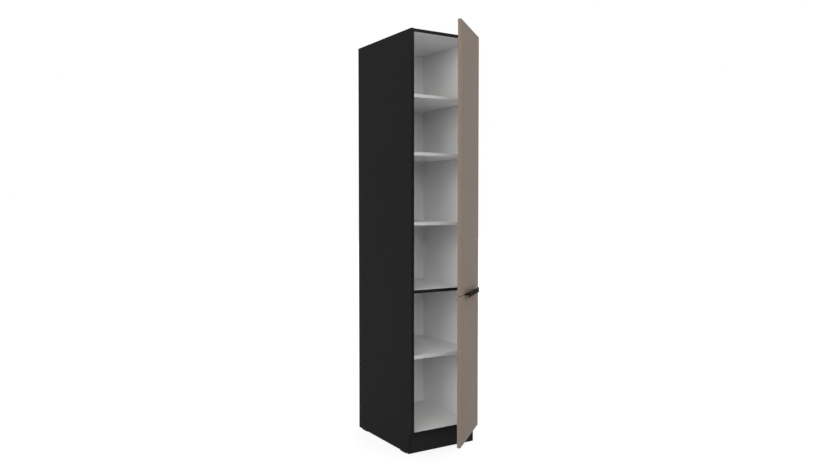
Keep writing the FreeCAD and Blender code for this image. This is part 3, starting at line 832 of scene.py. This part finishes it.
class CABINET_OT_fittings(bpy.types.Operator):
    """Make the cams and bumpers, and finish the pins, bolts, dowels, nails and glides"""

    bl_idname = "cabinet.fittings"
    bl_label = "Small fittings"

    def execute(self, context):
        finish = context.scene.cabinet_finish
        facets = context.scene.cabinet_detail.facets
        zinc = plated("zinc_fittings", finish.zinc, FITTING_ROUGHNESS)
        wear(zinc, "cam_bolts", "shelf_pins", "glide_nails")
        wear(moulded("glide_plastic", finish.glide_black), "glides")
        wear(turned_beech("dowel_beech", finish.beech), "dowels")
        self.make_cams(facets, zinc)
        tree = bumper_tree(clear_silicone("bumper_silicone", finish.silicone))
        for door in DOORS:
            inward = -door_normal(door)
            solids = [round_sizes(points, inward) for points in loose_parts(door + "_bumpers")]
            seats = [solid[0] for solid in solids]
            sizes = {"Facets": facets, "Radius": solids[0][1], "Height": solids[0][2]}
            mesh = grown(door + "_bumper_pads", tree, sizes, seats, [inward] * len(seats))
            add_piece(door + "_bumper_pads", mesh, door + "_door", "bumper_rubber", door + "_bumpers")
        return {"FINISHED"}

    def make_cams(self, facets, zinc):
        """Cams of the top panel face up, the others face down."""
        top_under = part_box("top_panel")[0].z
        seats = []
        faces = []
        for points in loose_parts("cam_discs"):
            outward = UP if max(point.z for point in points) > top_under else -UP
            seat, radius, height = round_sizes(points, outward)[:3]
            seats.append(seat)
            faces.append(outward)
        sizes = {"Facets": facets, "Radius": radius, "Height": height, "Recess": height * CAM_RECESS}
        mesh = grown("cam_faces", cam_tree(zinc), sizes, seats, faces)
        add_piece("cam_faces", mesh, "carcass", "zinc_fittings", "cam_discs")


class CABINET_OT_stage(bpy.types.Operator):
    """Set the floor, the lamps, the background and the camera"""

    bl_idname = "cabinet.stage"
    bl_label = "Stage"

    def execute(self, context):
        scene = context.scene
        studio = scene.cabinet_studio
        scene.view_settings.view_transform = "Standard"
        self.lay_floor(scene, studio)
        self.light_sky(scene, studio.sky)
        for name, (turn, rise) in LAMPS.items():
            power = getattr(studio, name + "_power")
            self.hang_lamp(scene, name + "_lamp", math.radians(turn), math.radians(rise), power)
        camera = bpy.data.objects.new("camera", bpy.data.cameras.new("camera"))
        camera.data.lens = studio.camera_lens
        camera.location = studio.camera_place
        camera.rotation_euler = (math.pi / 2 + studio.camera_pitch, 0, -studio.camera_yaw)
        scene.collection.objects.link(camera)
        scene.camera = camera
        return {"FINISHED"}

    def seen_directly(self, tree):
        """1 on rays that reach the camera straight, by gloss or through glass."""
        path = add_node(tree, "ShaderNodeLightPath")
        direct = path.outputs["Is Camera Ray"]
        for ray in ("Is Glossy Ray", "Is Transmission Ray"):
            direct = maths(tree, "MAXIMUM", direct, path.outputs[ray])
        return direct

    def lay_floor(self, scene, studio):
        """A pale floor that looks plain white away from the cabinet and keeps its shadow close by."""
        mesh = bpy.data.meshes.new("floor")
        quarters = ((-1, -1), (1, -1), (1, 1), (-1, 1))
        corners = [(FLOOR_REACH * across, FLOOR_REACH * along, 0) for across, along in quarters]
        mesh.from_pydata(corners, [], [(0, 1, 2, 3)])
        material = bpy.data.materials.new("floor_white")
        material.use_nodes = True
        tree = material.node_tree
        tree.nodes.clear()
        paper = add_node(tree, "ShaderNodeBsdfDiffuse", {"Color": FLOOR_PALE})
        glow = add_node(tree, "ShaderNodeEmission", {"Color": WHITE, "Strength": studio.floor_glow})
        place = add_node(tree, "ShaderNodeTexCoord").outputs["Object"]
        away = add_node(tree, "ShaderNodeVectorMath", {0: place}, operation="LENGTH")
        fade = add_node(tree, "ShaderNodeMapRange", {
            "Value": away.outputs["Value"], "From Min": 0.0, "From Max": studio.shadow_reach,
            "To Min": 1 - studio.shadow_share, "To Max": 1.0})
        share = maths(tree, "MULTIPLY", self.seen_directly(tree), fade.outputs["Result"])
        mix = add_node(tree, "ShaderNodeMixShader", {0: share, 1: paper.outputs[0], 2: glow.outputs[0]})
        add_node(tree, "ShaderNodeOutputMaterial", {"Surface": mix.outputs[0]})
        mesh.materials.append(material)
        floor = bpy.data.objects.new("floor", mesh)
        scene.collection.objects.link(floor)

    def light_sky(self, scene, strength):
        """Even light from all sides, with a plain white background behind the cabinet."""
        world = bpy.data.worlds.new("studio")
        scene.world = world
        world.use_nodes = True
        tree = world.node_tree
        tree.nodes.clear()
        lit = add_node(tree, "ShaderNodeBackground", {"Color": WHITE, "Strength": strength})
        seen = add_node(tree, "ShaderNodeBackground", {"Color": WHITE, "Strength": 1.0})
        mix = add_node(tree, "ShaderNodeMixShader", {
            0: self.seen_directly(tree), 1: lit.outputs[0], 2: seen.outputs[0]})
        add_node(tree, "ShaderNodeOutputWorld", {"Surface": mix.outputs[0]})

    def hang_lamp(self, scene, name, turn, rise, power):
        """Aims a square lamp from a turn to the right of the front and a rise above the middle."""
        lamp = bpy.data.lights.new(name, "AREA")
        lamp.size = LAMP_SIZE
        lamp.energy = power
        holder = bpy.data.objects.new(name, lamp)
        holder.visible_camera = False
        level = math.cos(rise)
        aim = Vector((level * math.sin(turn), -level * math.cos(turn), math.sin(rise)))
        holder.location = (CAD_BOX[0] + CAD_BOX[1]) / 2 + LAMP_REACH * aim
        holder.rotation_euler = aim.to_track_quat("Z", "Y").to_euler()
        scene.collection.objects.link(holder)


class CABINET_PT_tools(bpy.types.Panel):
    """Lists the cabinet's operators and settings"""

    bl_idname = "CABINET_PT_tools"
    bl_label = "Cabinet"
    bl_space_type = "VIEW_3D"
    bl_region_type = "UI"
    bl_category = "Cabinet"

    def draw(self, context):
        layout = self.layout
        for operator in OPERATORS:
            layout.operator(operator.bl_idname)
        for name, group in GROUPS.items():
            for key in group.__annotations__:
                layout.prop(getattr(context.scene, name), key)


OPERATORS = (CABINET_OT_boards, CABINET_OT_bands, CABINET_OT_doors, CABINET_OT_pulls,
             CABINET_OT_hinges, CABINET_OT_screws, CABINET_OT_fittings, CABINET_OT_stage)
GROUPS = {"cabinet_finish": CabinetFinish,
          "cabinet_detail": CabinetDetail,
          "cabinet_studio": CabinetStudio}
CLASSES = (*GROUPS.values(), *OPERATORS, CABINET_PT_tools)


def register():
    """Adds the classes and the settings."""
    for entry in CLASSES:
        bpy.utils.register_class(entry)
    for name, group in GROUPS.items():
        setattr(bpy.types.Scene, name, PointerProperty(type=group))


def unregister():
    """Takes the settings and the classes away again."""
    for name in GROUPS:
        delattr(bpy.types.Scene, name)
    for entry in reversed(CLASSES):
        bpy.utils.unregister_class(entry)


def main():
    """Builds the whole scene."""
    register()
    bpy.ops.cabinet.boards()
    bpy.ops.cabinet.bands()
    bpy.ops.cabinet.doors()
    bpy.ops.cabinet.pulls()
    bpy.ops.cabinet.hinges()
    bpy.ops.cabinet.screws()
    bpy.ops.cabinet.fittings()
    bpy.ops.cabinet.stage()


if __name__ == "__main__":
    main()
